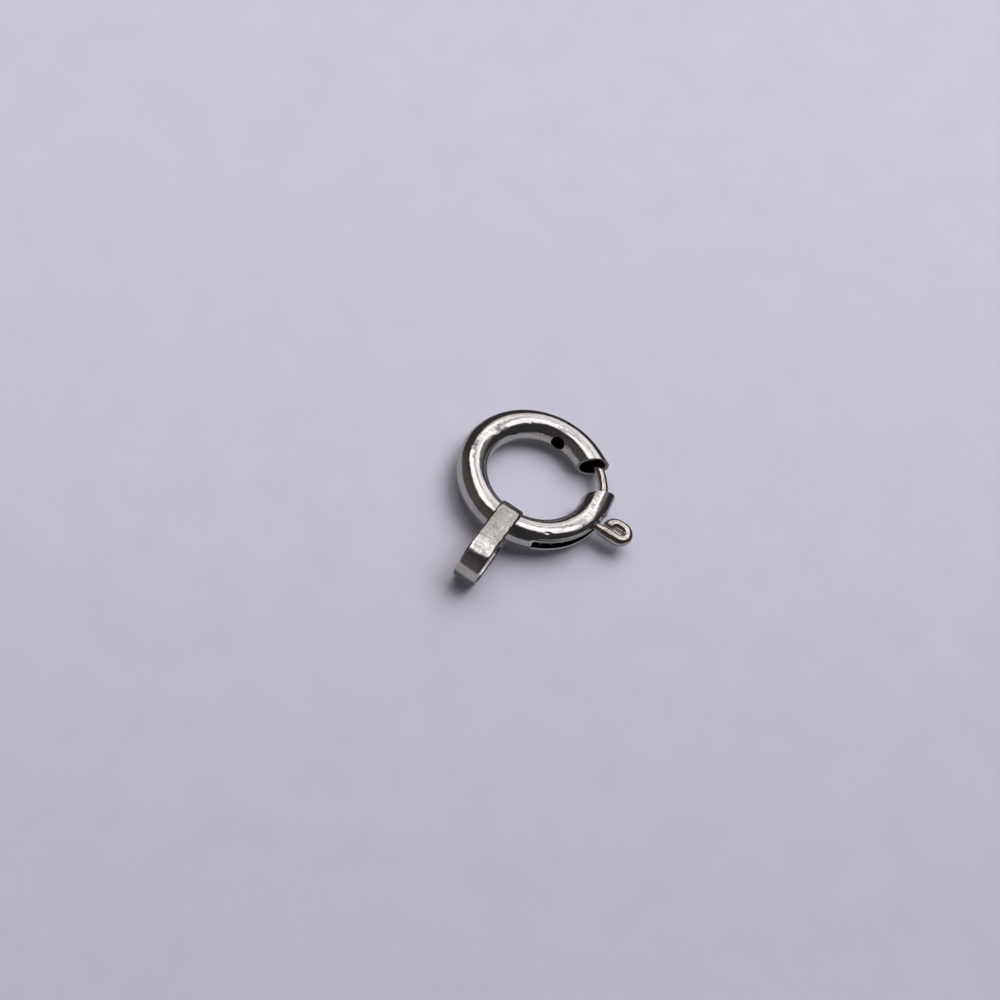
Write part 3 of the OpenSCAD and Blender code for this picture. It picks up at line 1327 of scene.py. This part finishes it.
@dataclass(frozen=True)
class Window:
    """A soft window above the far side, with a crossbar and a post, seen only in the metal."""

    rise: float = 59.0
    nearest: float = 0.05
    left: Edge = Edge(1.0, 0.0, (-0.84, -0.48))
    bay: Edge = Edge(0.0, 1.0, (0.28, 0.08), (0.0, 0.25))
    sides: tuple[Edge, ...] = (
        Edge(1.0, 0.0, (1.15, 0.5)),
        Edge(0.0, 1.0, (-1.25, -0.55)),
        Edge(0.0, 1.0, (1.1, 0.7)),
        Edge(0.5, 1.0, (0.9, 0.54)),
        Edge(-0.73, -0.68, (1.05, 0.72)),
    )
    crossbar: Edge = Edge(-0.12, 1.0, (0.0, 0.11), (0.1, 1.0), 0.07)
    post: Edge = Edge(1.0, -0.35, (0.0, 0.13), (0.75, 0.0), 0.2)
    post_foot: Edge = Edge(0.0, 1.0, (-0.05, 0.12))
    corner: tuple[Edge, Edge] = (
        Edge(0.0, 1.0, (-0.2, -0.4)),
        Edge(1.0, 0.0, (-0.15, -0.42), (0.3, 0.56)),
    )
    dull: tuple[Edge, Edge] = (
        Edge(1.0, 0.0, (0.1, 0.35)),
        Edge(0.0, 1.0, (-0.1, -0.28)),
    )
    dull_share: float = 0.13
    cloud: Speckle = Speckle(3.2, 5.0, (1.0, 1.8, 1.0), (0.34, 0.60))
    cloud_share: Span = (0.50, 1.0)
    second_tone: Edge = Edge(1.0, 0.0, (-0.75, 0.2))

    def plane(self, graph: Graph, ray: Source) -> Socket:
        """Where a direction meets the window's plane.

        Args:
            graph: The world's nodes.
            ray: The direction looked in.

        Returns:
            A vector of how far right and how far above.
        """
        rise = math.radians(self.rise)
        ahead = graph.along(ray, (0.0, math.cos(rise), math.sin(rise)))
        ahead = graph.maths("MAXIMUM", ahead, self.nearest)
        flat = graph.nodes.new("ShaderNodeCombineXYZ")
        for axis, way in (("X", (1.0, 0.0, 0.0)), ("Y", (0.0, -math.sin(rise), math.cos(rise)))):
            graph.feed(graph.maths("DIVIDE", graph.along(ray, way), ahead), flat.inputs[axis])
        return flat.outputs["Vector"]

    def shares(self, graph: Graph, ray: Source) -> tuple[Socket, Socket]:
        """How bright and how cool the window looks in a direction.

        Args:
            graph: The world's nodes.
            ray: The direction looked in.

        Returns:
            The window's share, and the share of its second tone.
        """
        flat = self.plane(graph, ray)
        left = graph.maths("ADD", self.left.across(graph, flat), self.bay.ease_off(graph, flat))
        foot = self.post_foot.ease(graph, flat)
        post = graph.maths("MULTIPLY", self.post.ease_off(graph, flat), foot)
        corner = graph.maths("MULTIPLY", *(edge.ease(graph, flat) for edge in self.corner))
        dull = graph.maths("MULTIPLY", *(edge.ease(graph, flat) for edge in self.dull))
        share = graph.ramp(left, self.left.span)
        parts = [
            *(edge.ease(graph, flat) for edge in self.sides),
            self.crossbar.ease_off(graph, flat),
            graph.maths("SUBTRACT", 1.0, post),
            graph.maths("SUBTRACT", 1.0, corner),
            graph.ramp(dull, (0.0, 1.0), (1.0, self.dull_share)),
            graph.speckle(flat, self.cloud, self.cloud_share, 1.0),
        ]
        for part in parts:
            share = graph.maths("MULTIPLY", share, part)
        return share, self.second_tone.ease(graph, flat)


@dataclass(frozen=True)
class Room:
    """What the metal mirrors: the window, the dim room round it and a pale ground."""

    window: Window = Window()
    window_power: float = 2.05
    window_tones: tuple[Span3, Span3] = ((1.0, 0.94, 0.90), (0.98, 0.96, 0.985))
    wall_tones: tuple[Span3, Span3] = ((0.037, 0.035, 0.035), (0.085, 0.077, 0.076))
    lighter_wall: Span3 = (-0.75, -0.65, 0.0)
    lighter_span: Span = (0.3, 0.8)
    ground_tones: tuple[Span3, Span3] = ((0.07, 0.068, 0.070), (0.34, 0.335, 0.37))
    ground_span: Span = (-1.0, -0.72)
    far_drop: float = 0.6
    horizon: Span = (0.04, -0.14)
    backdrop: Span3 = (0.56, 0.555, 0.62)

    def build(self) -> None:
        """Paints the room as the scene's world."""
        world = bpy.data.worlds.new("SoftRoom")
        bpy.context.scene.world = world
        world.use_nodes = True
        graph = Graph(world.node_tree)
        ray = graph.place("Generated")
        height = graph.along(ray, (0.0, 0.0, 1.0))
        wall = graph.ramp(graph.along(ray, self.lighter_wall), self.lighter_span)
        wall = graph.blend(wall, *self.wall_tones)
        share, cool = self.window.shares(graph, ray)
        tones = (tuple(self.window_power * level for level in tone) for tone in self.window_tones)
        upper = graph.blend(share, wall, graph.blend(cool, *tones))
        ground = graph.blend(graph.ramp(height, self.ground_span), *self.ground_tones)
        far = graph.maths("MAXIMUM", graph.along(ray, (0.0, 1.0, 0.0)), 0.0)
        below = graph.maths("ADD", height, graph.maths("MULTIPLY", far, self.far_drop))
        colour = graph.blend(graph.ramp(below, self.horizon), upper, ground)
        seen = graph.nodes.new("ShaderNodeLightPath").outputs["Is Camera Ray"]
        shown = graph.blend(seen, colour, self.backdrop)
        graph.feed(shown, graph.nodes["Background"].inputs["Color"])


@dataclass
class Studio:
    """Pale floor, soft fill light and the camera, in the room."""

    azimuth: float = 8.64
    elevation: float = 56.69
    roll: float = 25.83
    distance: float = 100.0
    view_width: float = 37.13
    ring_pixel: tuple[float, float] = (535.0, 479.3)
    frame_pixels: float = 1000.0
    sensor: float = 36.0
    clip: Span = (0.002, 6.4)
    floor_size: float = 1.6
    floor_shaded_and_lit_tones: tuple[Span3, Span3] = ((0.60, 0.59, 0.70), (0.74, 0.73, 0.855))
    painted_light_fade: Span = (-21.0, 21.0)
    floor_rough: float = 0.8
    floor_shine: float = 0.2
    mottle: Speckle = Speckle(0.5, 7.0, span=(0.25, 0.9))
    mottle_share: float = 0.09
    mottle_tone: Span3 = (0.35, 0.35, 0.40)
    fill_power: float = 1.27
    fill_size: float = 0.36
    fill_away: float = 0.5
    fill_rise: float = 59.0
    fill_right: float = 0.12
    room: Room = Room()

    def camera(self, plane: RingPlane) -> bpy.types.Object:
        """Puts the camera at the photograph's angle to the clasp.

        Args:
            plane: Where the ring's plane lies.

        Returns:
            The camera.
        """
        turn, rise = math.radians(self.azimuth), math.radians(self.elevation)
        flat = math.cos(rise)
        back = Vector((math.sin(turn) * flat, -math.cos(turn) * flat, math.sin(rise)))
        level = Vector((math.cos(turn), math.sin(turn), 0.0))
        upright = back.cross(level)
        roll = math.radians(self.roll)
        right = level * math.cos(roll) + upright * math.sin(roll)
        up = back.cross(right)
        pixel = self.view_width * MM / self.frame_pixels
        across = self.ring_pixel[0] - self.frame_pixels / 2
        down = self.ring_pixel[1] - self.frame_pixels / 2
        aim = plane.centre - right * across * pixel + up * down * pixel
        data = bpy.data.cameras.new("Camera")
        data.sensor_width = self.sensor
        data.lens = self.sensor * self.distance / self.view_width
        data.clip_start, data.clip_end = self.clip
        made = bpy.data.objects.new("Camera", data)
        bpy.context.scene.collection.objects.link(made)
        turned = Matrix((right, up, back)).transposed().to_4x4()
        made.matrix_world = Matrix.Translation(aim + back * self.distance * MM) @ turned
        bpy.context.scene.camera = made
        return made

    def floor(self, camera: bpy.types.Object) -> None:
        """Makes the pale surface that the clasp lies on, with painted light: lighter towards the
        picture's top.

        Args:
            camera: The camera, for which way the picture's top is.
        """
        half = self.floor_size / 2
        data = bpy.data.meshes.new("Floor")
        corners = [(-half, -half, 0.0), (half, -half, 0.0), (half, half, 0.0), (-half, half, 0.0)]
        data.from_pydata(corners, [], [(0, 1, 2, 3)])
        floor = bpy.data.objects.new("Floor", data)
        bpy.context.scene.collection.objects.link(floor)
        floor.visible_glossy = False
        made = bpy.data.materials.new("PaleFloor")
        made.use_nodes = True
        graph = Graph(made.node_tree)
        paper = graph.nodes["Principled BSDF"]
        paper.inputs["Roughness"].default_value = self.floor_rough
        paper.inputs["Specular IOR Level"].default_value = self.floor_shine
        place = graph.place("Object")
        # Painted light: the floor's tone runs from a shaded copy to a lit copy towards the
        # picture's top.
        upward = camera.matrix_world.to_3x3() @ Vector((0.0, 1.0, 0.0))
        fade = graph.along(place, (upward.x, upward.y, 0.0))
        fade = graph.ramp(fade, (self.painted_light_fade[0] * MM, self.painted_light_fade[1] * MM))
        tone = graph.blend(fade, *self.floor_shaded_and_lit_tones)
        mottle = graph.speckle(place, self.mottle, (0.0, self.mottle_share))
        tone = graph.blend(mottle, tone, self.mottle_tone)
        graph.feed(tone, paper.inputs["Base Color"])
        data.materials.append(made)

    def fill(self, plane: RingPlane) -> None:
        """A soft light over the far side, which only the floor sees.

        Args:
            plane: Where the ring's plane lies.
        """
        data = bpy.data.lights.new("SoftFill", "AREA")
        data.energy = self.fill_power
        data.size = self.fill_size
        made = bpy.data.objects.new("SoftFill", data)
        bpy.context.scene.collection.objects.link(made)
        rise = math.radians(self.fill_rise)
        away = Vector((self.fill_right, math.cos(rise), math.sin(rise))).normalized()
        made.matrix_world = Matrix.Translation(plane.centre + away * self.fill_away) \
            @ away.to_track_quat("Z", "Y").to_matrix().to_4x4()
        made.visible_glossy = False

    def build(self, plane: RingPlane) -> None:
        """Makes the floor, the lights and the camera.

        Args:
            plane: Where the ring's plane lies.
        """
        self.floor(self.camera(plane))
        self.fill(plane)
        self.room.build()
        bpy.context.scene.view_settings.view_transform = "Standard"


def corners(box: tuple[Vector, Vector]) -> list[list[float]]:
    """A box's two corners as plain lists."""
    return [list(corner) for corner in box]


def main() -> None:
    """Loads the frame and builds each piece."""
    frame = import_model()
    plane = RingPlane.from_joint(frame["joints"][0])
    Studio().build(plane)
    tube = RingTube()
    makers = (
        tube,
        Bail(tube.ring_r, tube.tube_r),
        Tongue(tube.ring_r, tube.bore_r, tube.ring_d / 2),
        CoilSpring(tube.ring_r, tube.web_at, tube.web_half),
    )
    for maker in makers:
        piece = maker.dress(plane)
        LOG.info("%s: %d faces", piece.name, len(piece.data.polygons))


if __name__ == "__main__":
    logging.basicConfig(level=logging.INFO, format="%(message)s")
    main()
